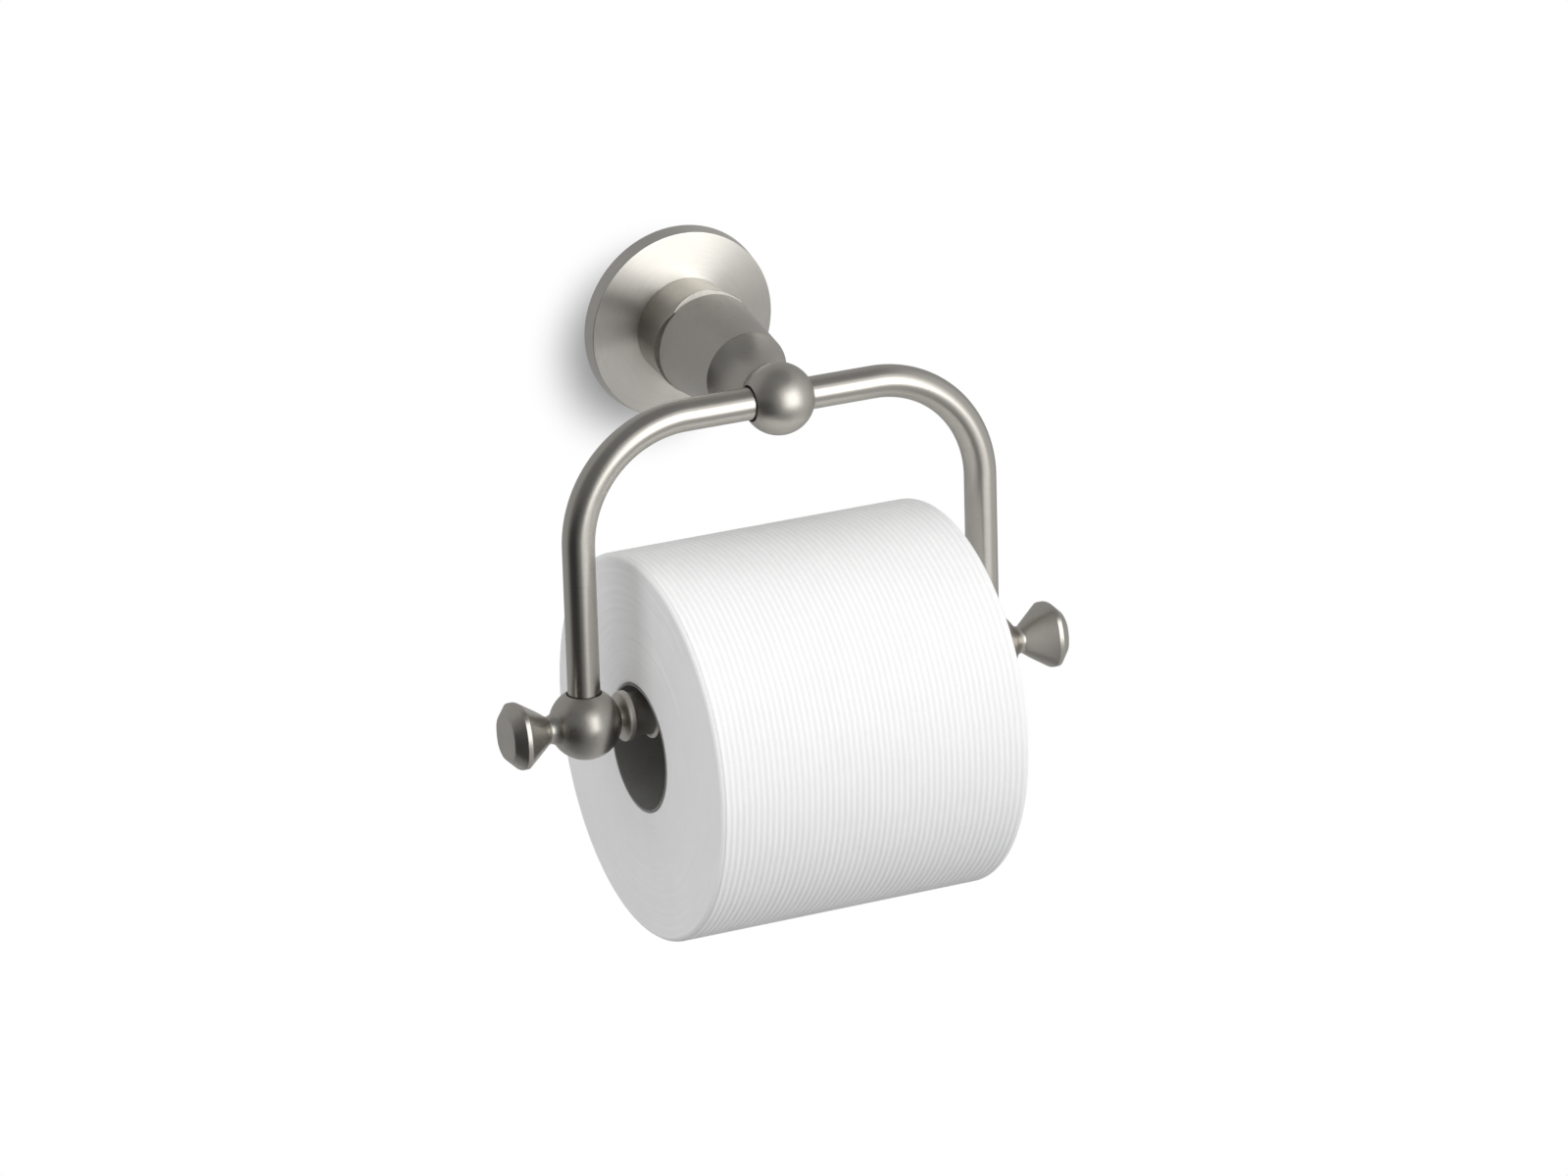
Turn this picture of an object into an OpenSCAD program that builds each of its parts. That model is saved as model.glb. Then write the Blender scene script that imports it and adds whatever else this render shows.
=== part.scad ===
// Wall-mounted roll holder with a swinging bail, a sprung roller and a paper roll.
// Frame: wall plane at y = 0, room side towards -Y, +Z up, +X along the roller.
// The origin is the centre of the flange on the wall. Lengths are in millimetres.

/* [Wall fixing] */
// Diameter of the steel wall plate
plate_d = 50; // [48:0.5:54]
// Thickness of the wall plate
plate_t = 2; // [1.6:0.1:2.2]
// Distance between the two wall screws
screw_spacing = 36; // [34:0.5:38]
// Length of a wall screw's shank
screw_len = 32; // [25:1:40]

/* [Flange and post] */
// Diameter of the flange at the wall
flange_d = 69; // [66:0.5:76]
// Diameter of the flange's front edge
flange_front_d = 67.4; // [65:0.2:68]
// Height of the flange's rim above the wall
flange_rim_h = 5.6; // [5.2:0.1:6.5]
// Distance from the wall to the foot of the collar
collar_foot = 7.3; // [7:0.1:8]
// Diameter of the collar at its foot
collar_foot_d = 35.5; // [34.5:0.1:37]
// Diameter of the collar at its front
collar_d = 37.4; // [37:0.1:38.5]
// Distance from the wall to the front of the collar
collar_front = 26; // [24:0.5:28]
// Diameter of the tapered post at its wide end
post_d = 36.9; // [34:0.1:37.2]
// Distance from the wall to the ring edge where the taper ends
post_ring = 57; // [52:0.5:60]
// Diameter of the ring edge
post_ring_d = 29.9; // [26:0.1:32]
// Diameter of the neck beside the pivot ball
neck_d = 19; // [18:0.1:19.6]

/* [Bail] */
// Distance from the wall to the swing axis
reach = 81.7; // [80:0.1:90]
// Diameter of the pivot ball and of both end balls
ball_d = 24.8; // [24:0.1:26]
// Diameter of the bail tube
tube_d = 11.11; // [10.5:0.01:11.4]
// Radius of the bends, measured to the tube's centre line
bend_r = 40; // [36:0.5:44]
// Distance between the centre lines of the two legs
leg_spacing = 150; // [146:0.5:156]
// Distance from the swing axis down to the roller axis
drop = 102.2; // [98:0.2:110]
// How far the bail stands forward of hanging plumb, in degrees
bail_lean = 3.65; // [0:0.05:8]

/* [Finials] */
// Diameter of the finial's neck
finial_neck_d = 9.4; // [8.5:0.1:10]
// Diameter of the finial's head over its corners
finial_head_d = 24.3; // [23.6:0.1:25.4]
// Distance between the finial's opposite flats
finial_flats = 22.6; // [21.6:0.1:23.2]
// Turn of the finials' flats about their own axis, in degrees
finial_turn = 6; // [0:1:45]

/* [Roller] */
// Diameter of the roller's end beads
bead_d = 17.2; // [16:0.1:18]
// Diameter of the shoulders that carry the core
shoulder_d = 18.8; // [18.4:0.1:20]
// Diameter of the outer sleeve
sleeve_d = 18.2; // [17.8:0.1:18.2]
// Diameter of the pins at the roller's ends
pin_d = 7; // [6:0.1:8]
// How far the roller can be pushed shorter
roller_travel = 8; // [6:0.5:9]
// Number of turns of the roller spring
spring_turns = 14; // [8:1:16]

/* [Paper roll] */
// Diameter of the paper roll
roll_d = 133.6; // [110:0.2:140]
// Length of the paper roll
roll_len = 114.3; // [98:0.1:116]
// Inside diameter of the cardboard core
core_d = 42.8; // [40:0.1:45]
// How far the roll sits forward of hanging plumb below the roller, in degrees
roll_lead = 14; // [0:1:20]

/* [Hidden] */
$fn = 96;
fit = 0.07;                       // radial play of a turning or sliding fit
seam = 0.4;                       // width of the shadow gap behind the post
plate_boss_r = 10.5;
boss_end = 13;
screw_head_r = 4;
screw_head_h = 2.2;
screw_r = 2.1;
stud_r = 3;
nut_h = 3.6;
washer_t = 1;
recess_end = collar_front - 4;
grub_r = 2;
grub_z = 10.5;
facet_depth = 3.2;
facet_tilt = 32.5;
tube_r = tube_d / 2;
tube_wall = 1.2;
ball_r = ball_d / 2;
bush_r = tube_r + 0.7;
bush_recess = 1.4;
leg_x = leg_spacing / 2;
leg_end = drop - 2.5;
lip_r = neck_d / 2 + 0.7;
post_seat = reach - sqrt(pow(ball_r, 2) - pow(lip_r - 0.1, 2));
spigot_r = 6.4;
spigot_len = 5;
leg_pin_r = 1.5;
finial_neck_r = finial_neck_d / 2;
finial_head_r = finial_head_d / 2;
finial_neck_at = 14.2;
finial_rim_at = 24;
finial_band = 1.6;
finial_end_at = 29.2;
finial_side_r = 18;               // radius of the finial's bulging sides
finial_fillet = 4;
bead_r = bead_d / 2;
shoulder_r = shoulder_d / 2;
sleeve_r = sleeve_d / 2;
sleeve_wall = 0.8;
inner_sleeve_r = sleeve_r - sleeve_wall - fit;
bead_at = leg_x - ball_r - 0.4;
bead_w = 2.6;
shoulder_at = 52;
shoulder_w = 3;
plug_len = 9;
pin_len = 4.6;
spring_end = shoulder_at - shoulder_w - 1.1;
spring_r = 4.6;
wire_r = 0.55;
sleeve_overlap = 12;
core_r = core_d / 2;
core_wall = 0.8;
roll_r = roll_d / 2;
roll_edge = 1.5;
roll_gap = 0.3;
roll_drop = core_r - shoulder_r - roll_gap;

// ---------- places ----------

// Local +Z points away from the wall and local +Y points up.
module from_wall(distance = 0) {
    translate([0, -distance, 0])
        rotate([90, 0, 0])
            children();
}

// The bail's own frame: origin on the swing axis, legs along -Z.
module on_bail() {
    translate([0, -reach, 0])
        rotate([-bail_lean, 0, 0])
            children();
}

// Local +Z runs along +X on the roller's axis.
module on_roller() {
    on_bail()
        translate([0, 0, -drop])
            rotate([0, 90, 0])
                children();
}

// Local +Z runs along +X on the paper roll's own axis.
module on_roll() {
    on_bail()
        translate([0, -roll_drop * sin(roll_lead), -drop - roll_drop * cos(roll_lead)])
            rotate([0, 90, 0])
                children();
}

module tube(outer, inner, length) {
    difference() {
        cylinder(r = outer, h = length);
        translate([0, 0, -1])
            cylinder(r = inner, h = length + 2);
    }
}

// ---------- wall fixing ----------

module at_screws() {
    for (side = [-1, 1])
        translate([side * screw_spacing / 2, 0, 0])
            children();
}

module wall_plate() {
    color([0.72, 0.73, 0.75])
        from_wall()
            difference() {
                union() {
                    cylinder(d = plate_d, h = plate_t);
                    cylinder(r = plate_boss_r, h = boss_end);
                }
                translate([0, 0, plate_t])
                    cylinder(r = plate_boss_r - 2.5, h = boss_end);
                at_screws()
                    translate([0, 0, -1])
                        cylinder(r = screw_r + 0.6, h = plate_t + 2);
            }
}

module wall_screws() {
    slot = 0.9;
    color([0.78, 0.78, 0.8])
        from_wall()
            at_screws()
                difference() {
                    union() {
                        translate([0, 0, plate_t])
                            cylinder(r1 = screw_head_r, r2 = screw_head_r - 0.8, h = screw_head_h);
                        cylinder(r1 = screw_r + 0.1, r2 = screw_r + 0.3, h = plate_t + 0.5);
                        translate([0, 0, plate_t - screw_len + 4])
                            cylinder(r = screw_r, h = screw_len - plate_t - 3.5);
                        translate([0, 0, plate_t - screw_len])
                            cylinder(r1 = 0.3, r2 = screw_r, h = 4);
                    }
                    for (turn = [0, 90])
                        rotate([0, 0, turn])
                            translate([-2.2, -slot / 2, plate_t + 0.8])
                                cube([4.4, slot, screw_head_h]);
                }
}

// ---------- flange and post ----------

module flange() {
    rim = flange_front_d / 2;
    foot = collar_foot_d / 2;
    hole = plate_boss_r + 0.3;
    skin = 1.5;
    color([0.66, 0.64, 0.60])
        from_wall()
            rotate_extrude()
                polygon([
                    [flange_d / 2, 0],
                    [rim, flange_rim_h],
                    [foot, collar_foot],
                    [hole, collar_foot],
                    [hole, collar_foot - skin],
                    [foot, collar_foot - skin],
                    [rim - skin, flange_rim_h - skin],
                    [flange_d / 2 - skin, 0]
                ]);
}

// One sloping facet of the collar, facing +Y and forward.
module collar_facet() {
    reach_out = collar_d / 2;
    translate([0, reach_out, collar_front - facet_depth])
        rotate([-facet_tilt, 0, 0])
            translate([-reach_out, -reach_out, 0])
                cube([2 * reach_out, 2 * reach_out, 12]);
}

module collar() {
    edge_at = collar_front - facet_depth;
    color([0.58, 0.56, 0.52])
        from_wall()
            difference() {
                union() {
                    translate([0, 0, collar_foot])
                        cylinder(d1 = collar_foot_d, d2 = collar_d, h = edge_at - collar_foot);
                    translate([0, 0, edge_at])
                        cylinder(d = collar_d, h = facet_depth);
                }
                translate([0, 0, collar_foot - 1])
                    cylinder(r = plate_boss_r + 0.1, h = recess_end - collar_foot + 1);
                cylinder(r = stud_r + 0.2, h = collar_front + 1);
                for (turn = [0, 90, 180, 270])
                    rotate([0, 0, turn])
                        collar_facet();
                translate([0, 0, grub_z])
                    rotate([90, 0, 0])
                        cylinder(r = grub_r, h = collar_d);
            }
}

module grub_screw() {
    tip = plate_boss_r;
    length = collar_foot_d / 2 - tip - 0.5;
    color([0.25, 0.25, 0.26])
        from_wall()
            translate([0, -tip, grub_z])
                rotate([90, 0, 0])
                    difference() {
                        cylinder(r = grub_r, h = length);
                        translate([0, 0, length - 2.4])
                            cylinder(r = 1.15, h = 3, $fn = 6);
                    }
}

module post() {
    base = collar_front + seam;
    neck = neck_d / 2;
    ring = post_ring_d / 2;
    neck_at = post_seat - 1.6;
    cove_r = (pow(neck_at - post_ring, 2) + pow(ring - neck, 2)) / (2 * (ring - neck));
    color([0.60, 0.58, 0.54])
        from_wall()
            difference() {
                union() {
                    translate([0, 0, collar_front])
                        cylinder(d = post_d - 1.6, h = 2 * seam);
                    translate([0, 0, base])
                        cylinder(d1 = post_d, d2 = post_ring_d, h = post_ring - base);
                    rotate_extrude()
                        difference() {
                            translate([0, post_ring - 1])
                                square([ring, neck_at - post_ring + 1]);
                            translate([neck + cove_r, neck_at])
                                circle(r = cove_r, $fn = 180);
                        }
                    translate([0, 0, neck_at])
                        cylinder(r = lip_r, h = post_seat - neck_at);
                }
                translate([0, 0, collar_front - 1])
                    cylinder(r = stud_r + 0.2, h = post_seat);
                translate([0, 0, post_seat - spigot_len - 0.3])
                    cylinder(r = spigot_r + 0.1, h = spigot_len + 1);
            }
}

module post_stud() {
    start = recess_end - washer_t - nut_h - 1;
    end = reach - bush_r - 0.3;
    color([0.7, 0.7, 0.72])
        from_wall(start)
            cylinder(r = stud_r, h = end - start);
}

module stud_nut() {
    color([0.74, 0.74, 0.76])
        from_wall(recess_end - washer_t - nut_h)
            difference() {
                cylinder(r = 5.77, h = nut_h, $fn = 6);
                translate([0, 0, -1])
                    cylinder(r = stud_r, h = nut_h + 2);
            }
}

module stud_washer() {
    color([0.76, 0.76, 0.78])
        from_wall(recess_end - washer_t)
            tube(7.5, stud_r + 0.2, washer_t);
}

// ---------- pivot ----------

// The ball has a flat back and a short spigot that enters the post.
module pivot_ball() {
    flat = reach - post_seat;
    color([0.58, 0.56, 0.52])
        from_wall(reach)
            difference() {
                union() {
                    difference() {
                        sphere(r = ball_r);
                        translate([-ball_r, -ball_r, -flat - ball_r])
                            cube([2 * ball_r, 2 * ball_r, ball_r]);
                    }
                    translate([0, 0, -flat - spigot_len])
                        cylinder(r = spigot_r, h = spigot_len + 2);
                }
                rotate([0, 90, 0])
                    translate([0, 0, -ball_r - 1])
                        cylinder(r = bush_r, h = ball_d + 2);
                translate([0, 0, -flat - spigot_len - 1])
                    cylinder(r = stud_r, h = spigot_len + 2);
            }
}

module pivot_bush(side) {
    inner_end = 3;
    outer_end = sqrt(pow(ball_r, 2) - pow(bush_r, 2)) - bush_recess;
    color([0.16, 0.16, 0.17])
        translate([0, -reach, 0])
            rotate([0, side * 90, 0])
                translate([0, 0, inner_end])
                    tube(bush_r, tube_r + fit, outer_end - inner_end);
}

module pivot_bush_left() {
    pivot_bush(-1);
}

module pivot_bush_right() {
    pivot_bush(1);
}

// ---------- bail ----------

module bail_rod(radius, extra) {
    bar = leg_x - bend_r;
    rotate([0, 90, 0])
        translate([0, 0, -bar])
            cylinder(r = radius, h = 2 * bar);
    for (side = [0, 180])
        rotate([0, 0, side]) {
            translate([bar, 0, -bend_r])
                rotate([90, 0, 0])
                    rotate_extrude(angle = 90)
                        translate([bend_r, 0])
                            circle(r = radius);
            translate([leg_x, 0, -leg_end - extra])
                cylinder(r = radius, h = leg_end - bend_r + extra);
        }
}

module bail_tube() {
    color([0.62, 0.60, 0.56])
        on_bail()
            difference() {
                bail_rod(tube_r, 0);
                bail_rod(tube_r - tube_wall, 1);
            }
}

// Outline of the finial as turned: neck fillet, flare, band and chamfered end.
module finial_turned() {
    fillet_y = finial_neck_r + finial_fillet;
    fillet_x = sqrt(pow(ball_r + finial_fillet, 2) - pow(fillet_y, 2));
    rotate_extrude() {
        difference() {
            translate([0, ball_r / 2])
                square([fillet_y, fillet_x - ball_r / 2]);
            translate([fillet_y, fillet_x])
                circle(r = finial_fillet);
            translate([ball_r * fillet_y / (ball_r + finial_fillet), 0])
                square([ball_r, ball_r * fillet_x / (ball_r + finial_fillet)]);
        }
        polygon([
            [0, fillet_x - 0.5],
            [finial_neck_r, fillet_x - 0.5],
            [finial_neck_r, finial_neck_at],
            [finial_head_r, finial_rim_at],
            [finial_head_r, finial_rim_at + finial_band],
            [finial_head_r - 4, finial_end_at],
            [0, finial_end_at]
        ]);
    }
}

// One bulging side of the finial's squared head, facing +X.
module finial_side() {
    apothem = finial_flats / 2;
    neck = finial_side_r - apothem + finial_neck_r + 0.5;
    translate([apothem - finial_side_r, 0, 0])
        rotate_extrude($fn = 180)
            polygon([
                [0, 0],
                [neck, 0],
                [neck, finial_neck_at + 0.3],
                [finial_side_r, finial_rim_at],
                [finial_side_r, finial_rim_at + finial_band],
                [finial_side_r - 3.5, finial_end_at],
                [0, finial_end_at]
            ]);
}

// Finial head along +Z from the ball's centre.
module finial() {
    intersection() {
        finial_turned();
        finial_side();
        rotate([0, 0, 90])
            finial_side();
        rotate([0, 0, 180])
            finial_side();
        rotate([0, 0, 270])
            finial_side();
    }
}

// End ball with its finial, in the bail's frame, on the side given.
module end_ball(side) {
    socket = pin_len + 1.2;
    color([0.57, 0.55, 0.51])
        on_bail()
            translate([side * leg_x, 0, -drop])
                difference() {
                    union() {
                        sphere(r = ball_r);
                        rotate([-finial_turn, 0, 0])
                            rotate([0, side * 90, 0])
                                finial();
                    }
                    translate([0, 0, drop - leg_end])
                        cylinder(r = tube_r, h = ball_r);
                    translate([0, 0, ball_r - 3.4])
                        cylinder(r = tube_r + 0.55, h = 4);
                    rotate([0, -side * 90, 0])
                        translate([0, 0, ball_r - socket - 0.4])
                            cylinder(r = pin_d / 2 + fit, h = socket + 2);
                    translate([0, ball_r + 1, 6])
                        rotate([90, 0, 0])
                            cylinder(r = leg_pin_r, h = ball_r + 1 - tube_r + 1.6);
                }
}

module left_finial() {
    end_ball(-1);
}

module right_finial() {
    end_ball(1);
}

// A grub screw at the back of each end ball grips the leg.
module leg_pins() {
    length = 3.6;
    color([0.25, 0.25, 0.26])
        on_bail()
            for (side = [-1, 1])
                translate([side * leg_x, tube_r + length, 6 - drop])
                    rotate([90, 0, 0])
                        difference() {
                            cylinder(r = leg_pin_r, h = length);
                            translate([0, 0, -0.1])
                                cylinder(r = 0.8, h = 1.3, $fn = 6);
                        }
}

// ---------- roller ----------

// End cap along +Z: inner plug, shoulder, cove, bead and pin.
module roller_cap(plug_r) {
    cove_len = bead_at - bead_w - shoulder_at;
    cove_r = 14;
    waist = bead_r - 1.2;
    start = shoulder_at - shoulder_w;
    difference() {
        union() {
            translate([0, 0, start - plug_len])
                cylinder(r = plug_r, h = plug_len + 1);
            translate([0, 0, start])
                cylinder(r = shoulder_r, h = shoulder_w);
            translate([0, 0, bead_at - bead_w])
                cylinder(r = bead_r, h = bead_w);
            rotate_extrude()
                difference() {
                    translate([0, shoulder_at - 0.5])
                        square([bead_r, cove_len + 1]);
                    translate([waist + cove_r, shoulder_at + cove_len / 2])
                        circle(r = cove_r, $fn = 180);
                }
            translate([0, 0, bead_at - 1])
                cylinder(r = pin_d / 2, h = pin_len + 1);
        }
        translate([0, 0, start - plug_len - 1])
            cylinder(r = plug_r - 1.8, h = plug_len);
    }
}

module roller_cap_left() {
    color([0.55, 0.53, 0.49])
        on_roller()
            rotate([180, 0, 0])
                roller_cap(sleeve_r - sleeve_wall);
}

module roller_cap_right() {
    color([0.55, 0.53, 0.49])
        on_roller()
            roller_cap(inner_sleeve_r - sleeve_wall);
}

module roller_outer_sleeve() {
    start = shoulder_w - shoulder_at;
    color([0.60, 0.58, 0.54])
        on_roller()
            translate([0, 0, start])
                tube(sleeve_r, sleeve_r - sleeve_wall, sleeve_overlap - start);
}

module roller_inner_sleeve() {
    start = -sleeve_overlap;
    color([0.62, 0.60, 0.56])
        on_roller()
            translate([0, 0, start])
                tube(inner_sleeve_r, inner_sleeve_r - sleeve_wall, shoulder_at - shoulder_w - start);
}

// The wire's section in a plane across the roller, drawn along the coil.
module roller_spring() {
    length = 2 * spring_end;
    half_arc = 360 * wire_r * spring_turns / length;
    color([0.62, 0.63, 0.65])
        on_roller()
            translate([0, 0, -spring_end])
                linear_extrude(height = length, twist = -360 * spring_turns, slices = 20 * spring_turns, $fn = 8)
                    polygon([
                        for (t = [0:45:315])
                            let(r = spring_r + wire_r * sin(t), a = half_arc * cos(t))
                                [r * cos(a), r * sin(a)]
                    ]);
}

// ---------- paper roll ----------

module roll_core() {
    color([0.60, 0.57, 0.52])
        on_roll()
            translate([0, 0, -roll_len / 2])
                tube(core_r + core_wall, core_r, roll_len);
}

module paper_roll() {
    half = roll_len / 2;
    color([0.95, 0.95, 0.94])
        on_roll()
            rotate_extrude($fn = 180)
                difference() {
                    translate([core_r + core_wall, -half])
                        square([roll_r - core_r - core_wall, roll_len]);
                    for (side = [-1, 1])
                        difference() {
                            translate([roll_r - roll_edge, side * (half - roll_edge / 2) - roll_edge / 2])
                                square([2 * roll_edge, roll_edge]);
                            translate([roll_r - roll_edge, side * (half - roll_edge)])
                                circle(r = roll_edge);
                        }
                }
}

wall_plate();
wall_screws();
flange();
collar();
grub_screw();
post();
post_stud();
stud_nut();
stud_washer();
pivot_ball();
pivot_bush_left();
pivot_bush_right();
bail_tube();
left_finial();
right_finial();
leg_pins();
roller_cap_left();
roller_cap_right();
roller_outer_sleeve();
roller_inner_sleeve();
roller_spring();
roll_core();
paper_roll();
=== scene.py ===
"""Wall-mounted roll holder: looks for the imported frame. Lengths are in millimetres until a mesh is made."""
import math

import bmesh
import bpy
import numpy as np
from mathutils import Matrix, Vector


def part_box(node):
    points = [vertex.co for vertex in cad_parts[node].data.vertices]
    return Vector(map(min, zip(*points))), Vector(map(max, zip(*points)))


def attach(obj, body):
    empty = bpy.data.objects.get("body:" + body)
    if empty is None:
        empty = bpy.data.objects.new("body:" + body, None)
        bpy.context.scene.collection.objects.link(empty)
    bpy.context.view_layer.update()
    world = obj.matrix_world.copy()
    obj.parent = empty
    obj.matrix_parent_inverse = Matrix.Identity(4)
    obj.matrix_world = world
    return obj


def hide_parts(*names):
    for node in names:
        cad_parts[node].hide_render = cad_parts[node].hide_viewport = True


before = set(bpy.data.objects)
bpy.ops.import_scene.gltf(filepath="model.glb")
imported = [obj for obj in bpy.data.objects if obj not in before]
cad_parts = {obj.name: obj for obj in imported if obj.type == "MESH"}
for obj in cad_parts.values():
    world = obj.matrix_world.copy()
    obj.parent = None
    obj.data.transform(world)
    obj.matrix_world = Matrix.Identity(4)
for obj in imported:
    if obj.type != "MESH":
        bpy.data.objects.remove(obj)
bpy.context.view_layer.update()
scene = bpy.context.scene
MM = 0.001

# ---------- camera ----------

camera_data = bpy.data.cameras.new("camera")
camera_data.sensor_width = 36
camera_data.lens = 171.1
camera = bpy.data.objects.new("camera", camera_data)
scene.collection.objects.link(camera)
camera.location = (-1.0041, -2.1775, 0.9141)
aim = Vector((0.00485, -0.0760, -0.0720))
camera.rotation_euler = (aim - camera.location).to_track_quat("-Z", "Y").to_euler()
camera_data.clip_start = 0.05
scene.camera = camera

# ---------- sizes, as in the CAD ----------

REACH, DROP, LEAN = 81.7, 102.2, math.radians(3.65)
BALL, TUBE, BEND, LEG_X = 12.4, 5.555, 40.0, 75.0
COLLAR, COLLAR_FOOT, FRONT, FOOT = 18.7, 17.75, 26.0, 7.3
NECK, LIP, RING, RING_AT = 9.5, 10.2, 14.95, 57.0
BORE = TUBE + 0.7
POST_SEAT = REACH - math.sqrt(BALL**2 - (LIP - 0.1) ** 2)
CORE, CORE_WALL, ROLL, ROLL_HALF = 21.4, 0.8, 66.8, 57.15
FLANGE, FLANGE_HOLE, COLLAR_HOLE, STUD_HOLE = 34.5, 10.8, 10.6, 3.2
FACET, TILT = 3.2, math.tan(math.radians(32.5))
POST_FOOT, SEAM, SEAM_R = 18.45, 0.4, 17.65
TUBE_WALL, PIN_HOLE, GRUB_HOLE = 1.2, 3.57, 1.5

WALL = Matrix(((1, 0, 0, 0), (0, 0, -1, 0), (0, 1, 0, 0), (0, 0, 0, 1)))
BAIL = Matrix.Translation((0, -REACH, 0)) @ Matrix.Rotation(-LEAN, 4, "X")
ALONG_X = Matrix.Rotation(math.pi / 2, 4, "Y")
ROLLER = BAIL @ Matrix.Translation((0, 0, -DROP)) @ ALONG_X
roll_low, roll_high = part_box("paper_roll")
roll_y, roll_z = ((roll_low[i] + roll_high[i]) / 2 / MM for i in (1, 2))
ROLL_AXIS = Matrix.Translation((0, roll_y, roll_z)) @ ALONG_X

# ---------- mesh helpers ----------


def soften(corners, closed=False, steps=6, hold=0.35):
    """A polyline through corners (r, h, radius), rounded at each one, with points close beside each curve."""
    pts = np.array([(c[0], c[1]) for c in corners], float)
    count = len(pts)
    out = []
    for i, corner in enumerate(corners):
        p, radius = pts[i], corner[2] if len(corner) > 2 else 0
        if radius <= 0 or (not closed and i in (0, count - 1)):
            out.append(p)
            continue
        a, b = pts[i - 1] - p, pts[(i + 1) % count] - p
        la, lb = np.linalg.norm(a), np.linalg.norm(b)
        a, b = a / la, b / lb
        half = math.acos(max(-1, min(1, float(a @ b)))) / 2
        if half > math.pi / 2 - 0.02:
            out.append(p)
            continue
        t = min(radius / math.tan(half), 0.45 * la, 0.45 * lb)
        radius = t * math.tan(half)
        centre = p + (a + b) / np.linalg.norm(a + b) * radius / math.sin(half)
        u, v = p + a * t - centre, p + b * t - centre
        turn = math.pi - 2 * half
        for k in range(steps + 1):
            w = k / steps
            out.append(centre + (math.sin((1 - w) * turn) * u + math.sin(w * turn) * v) / math.sin(turn))
    held = []
    size = len(out)
    for i in range(size if closed else size - 1):
        p, q = out[i], out[(i + 1) % size]
        length = np.linalg.norm(q - p)
        held.append(p)
        if length > 3 * hold:
            held += [p + (q - p) * hold / length, q - (q - p) * hold / length]
    if not closed:
        held.append(out[-1])
    return held


def arc(centre, radius, start, end, steps):
    """Points (r, h) round a centre, from one angle to another in degrees."""
    return [
        (centre[0] + radius * math.cos(t), centre[1] + radius * math.sin(t))
        for t in np.radians(np.linspace(start, end, steps + 1))
    ]


def skin(name, rows, place, loop=False):
    """A closed mesh from rings of points. Its UV map runs round the rings and along them."""
    count, size = len(rows), len(rows[0])
    grid = np.concatenate([np.asarray(r, float) for r in rows])
    m = np.array(place)
    verts = (grid @ m[:3, :3].T + m[:3, 3]) * MM
    faces, uvs = [], []
    for i in range(count if loop else count - 1):
        a, b = i * size, (i + 1) % count * size
        for j in range(size):
            k = (j + 1) % size
            faces.append((a + j, a + k, b + k, b + j))
            u0, u1, v0, v1 = j / size, (j + 1) / size, i / count, (i + 1) / count
            uvs += [(u0, v0), (u1, v0), (u1, v1), (u0, v1)]
    if not loop:
        for start in (0, (count - 1) * size):
            if np.ptp(grid[start:start + size], axis=0).max() > 1e-6:
                faces.append(tuple(range(start, start + size)))
                uvs += [(j / size, start / (count * size)) for j in range(size)]
    mesh = bpy.data.meshes.new(name)
    mesh.from_pydata(verts.tolist(), [], faces)
    layer = mesh.uv_layers.new(name="grain")
    layer.data.foreach_set("uv", np.array(uvs, np.float32).ravel())
    bm = bmesh.new()
    bm.from_mesh(mesh)
    bmesh.ops.remove_doubles(bm, verts=bm.verts, dist=1e-7)
    bmesh.ops.dissolve_degenerate(bm, edges=bm.edges, dist=1e-8)
    bmesh.ops.recalc_face_normals(bm, faces=bm.faces)
    for f in bm.faces:
        f.smooth = True
    bm.to_mesh(mesh)
    bm.free()
    obj = bpy.data.objects.new(name, mesh)
    scene.collection.objects.link(obj)
    return obj


def full_turn(segments):
    return np.linspace(0, 2 * math.pi, segments, endpoint=False)


def round_row(t, r, h):
    """Points round the Z axis at angles t. The radius and the height are one number or one for each angle."""
    return np.stack([r * np.cos(t), r * np.sin(t), np.broadcast_to(h, t.shape)], 1)


def ring(r, h, segments):
    return round_row(full_turn(segments), r, h)


def turned(name, profile, place, segments=192, loop=True):
    """A solid of revolution round the place's Z axis."""
    return skin(name, [ring(max(r, 0), h, segments) for r, h in profile], place, loop)


def cut(obj, cutter):
    """Takes the cutter's shape out of obj, and keeps the new edges crisp."""
    mod = obj.modifiers.new("cut", "BOOLEAN")
    mod.operation, mod.solver, mod.object = "DIFFERENCE", "EXACT", cutter
    bpy.context.view_layer.update()
    result = bpy.data.meshes.new_from_object(obj.evaluated_get(bpy.context.evaluated_depsgraph_get()))
    obj.modifiers.clear()
    obj.data = result
    for poly in result.polygons:
        poly.use_smooth = True
    result.set_sharp_from_angle(angle=math.radians(38))
    bpy.data.objects.remove(cutter)


def finish_piece(obj, material, body, *nodes, slot):
    """Gives a piece its material and its body, and hides the CAD nodes it stands for. The slot argument is
    not used.
    """
    obj.data.materials.clear()
    obj.data.materials.append(material)
    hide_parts(*nodes)
    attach(obj, body)


# ---------- materials ----------

NICKEL, NICKEL_LIGHT = (0.53, 0.508, 0.465), (0.57, 0.548, 0.505)
SPAN = (0.35, 0.65)  # where most of a mixed noise's values lie


def scaled(tone, factor):
    """A colour made darker or lighter."""
    return tuple(min(1, c * factor) for c in tone)


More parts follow.
